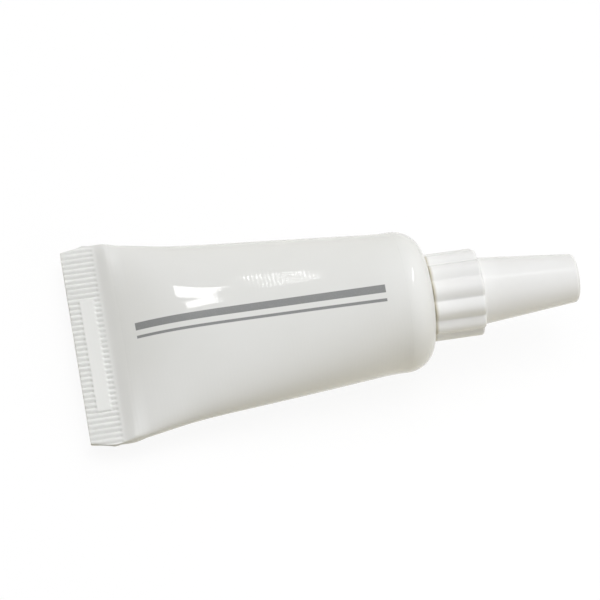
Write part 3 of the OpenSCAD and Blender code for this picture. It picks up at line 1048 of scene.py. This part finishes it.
# %% Helpers for the stage
def seen_directly(tree):
    """1 where the camera looks straight at a surface, or sees it mirrored or through something."""
    path = tree.nodes.new("ShaderNodeLightPath")
    kinds = ("Is Camera Ray", "Is Glossy Ray", "Is Transmission Ray")
    rays = [Field(tree, path.outputs[kind]) for kind in kinds]
    return (rays[0] + rays[1] + rays[2]).clip()


def plain_shader(tree, kind, colour):
    """A shader of one colour."""
    node = tree.nodes.new(kind)
    node.inputs["Color"].default_value = (*colour, 1)
    return node.outputs[0]


def mix_shaders(tree, first, second):
    """Two shaders in one, with the socket for the second one's share."""
    node = tree.nodes.new("ShaderNodeMixShader")
    tree.links.new(first, node.inputs[1])
    tree.links.new(second, node.inputs[2])
    return node.outputs[0], node.inputs[0]


print("the stage can be dressed")

# %% [markdown]
# ### The table's white
# Two mixes make the table: one of glowing and lit white for the camera, and one that chooses between
# that white and the plain warm surface, by the kind of ray that arrives.

# %% Table
white_share, plain_white, warm_white = 0.91, (1, 1, 1), (0.63, 0.575, 0.42)
table_white = bpy.data.materials.new("table_white")
table_white.use_nodes = True
tree = table_white.node_tree
tree.nodes.clear()
shadowed = plain_shader(tree, "ShaderNodeBsdfDiffuse", plain_white)
glowing = plain_shader(tree, "ShaderNodeEmission", plain_white)
shown, share_of_white = mix_shaders(tree, shadowed, glowing)
share_of_white.default_value = white_share
lit = plain_shader(tree, "ShaderNodeBsdfDiffuse", warm_white)
choice, share_shown = mix_shaders(tree, lit, shown)
seen_directly(tree).into(share_shown)
tree.links.new(choice, tree.nodes.new("ShaderNodeOutputMaterial").inputs["Surface"])

half_table = 0.6
corners = [(-half_table, -half_table, 0), (half_table, -half_table, 0)]
corners += [(half_table, half_table, 0), (-half_table, half_table, 0)]
top = bpy.data.meshes.new("table")
top.from_pydata(corners, [], [(0, 1, 2, 3)])
top.materials.append(table_white)
table = bpy.data.objects.new("table", top)
bpy.context.collection.objects.link(table)
table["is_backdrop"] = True
print("table", 2 * half_table, "m wide")

# %% [markdown]
# ## Surroundings
# The surroundings are white to the camera and in reflections, for the same reason as the table. They
# light the tube very little, because the lamps do that.

# %% Surroundings
sky_level = 0.05
world = bpy.data.worlds.new("surroundings")
world.use_nodes = True
bpy.context.scene.world = world
tree = world.node_tree
sky = tree.nodes["Background"]
sky.inputs["Color"].default_value = (*plain_white, 1)
(seen_directly(tree) * (1 - sky_level) + sky_level).into(sky.inputs["Strength"])
print("sky at", sky_level)

# %% [markdown]
# ## Lamps
# The tube lies in soft light from large lamps around it, which give a colour about the level at which
# it was written. The small bright patches on the sleeve and the shoulder are the mirror images of small
# panes. One set of lamps could do both, but then a change of a reflection would change the light as
# well. So the large lamps aren't seen in reflections, and the small ones are seen only there.


# %% Lamps
def lamp(name, azimuth, elevation, wide, high, glow, roll=0, distance=0.6):
    """A lamp in a direction from the tube, with its apparent size in degrees and its brightness."""
    light = bpy.data.lights.new(name, "AREA")
    light.shape = "RECTANGLE"
    light.size, light.size_y = (2 * distance * math.tan(math.radians(angle) / 2) for angle in (wide, high))
    light.energy = math.pi * light.size * light.size_y * glow
    a, e = math.radians(azimuth), math.radians(elevation)
    way = Vector((math.cos(a) * math.cos(e), math.sin(a) * math.cos(e), math.sin(e)))
    thing = bpy.data.objects.new(name, light)
    spin = way.to_track_quat("Z", "Y").to_matrix().to_4x4() @ Matrix.Rotation(math.radians(roll), 4, "Z")
    thing.matrix_world = Matrix.Translation(way * distance) @ spin
    bpy.context.collection.objects.link(thing)
    return thing


box = 44
# Each row: name, azimuth, elevation, width, height, brightness
soft = [
    lamp("softbox", 150, 75, box, box, 2.7),
    lamp("far_softbox", 60, 75, box, box, 1.8),
    lamp("back_softbox", 60, 35, box, box, 1.1),
    lamp("low_softbox", 328, 15, box, box, 1.4, distance=0.4),
    lamp("near_softbox", 300, 35, box, box, 0.8, distance=0.1),
]
mirrored = [
    lamp("upper_pane", 119.9, 44.2, 7.1, 9.6, 22, roll=37.2),
    lamp("lower_pane", 125.9, 50, 8.2, 4.8, 22, roll=-33.6),
    lamp("slit", 108.4, 45.3, 0.5, 14, 22, roll=-27),
    lamp("strip", 29, 57, 3.4, 24, 30, roll=41),
    lamp("spot", 46, 68, 5, 5, 14),
]
for thing in soft:
    thing.visible_glossy = False
for thing in mirrored:
    thing.visible_diffuse = False
print(len(soft), "soft lamps,", len(mirrored), "seen in reflections")

# %% [markdown]
# ## Sizes
# The dressed tube has to fill the same box as the solid model. The script prints how far the dressed
# tube's box reaches past the solid model's box on each axis.

# %% Compare the boxes and finish
seen_box = [list(corner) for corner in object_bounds()]
past = [max(a - c, d - b) / MM for a, b, c, d in zip(*cad_box, *seen_box)]
print("past the solid model's box, mm:", [round(value, 3) for value in past])
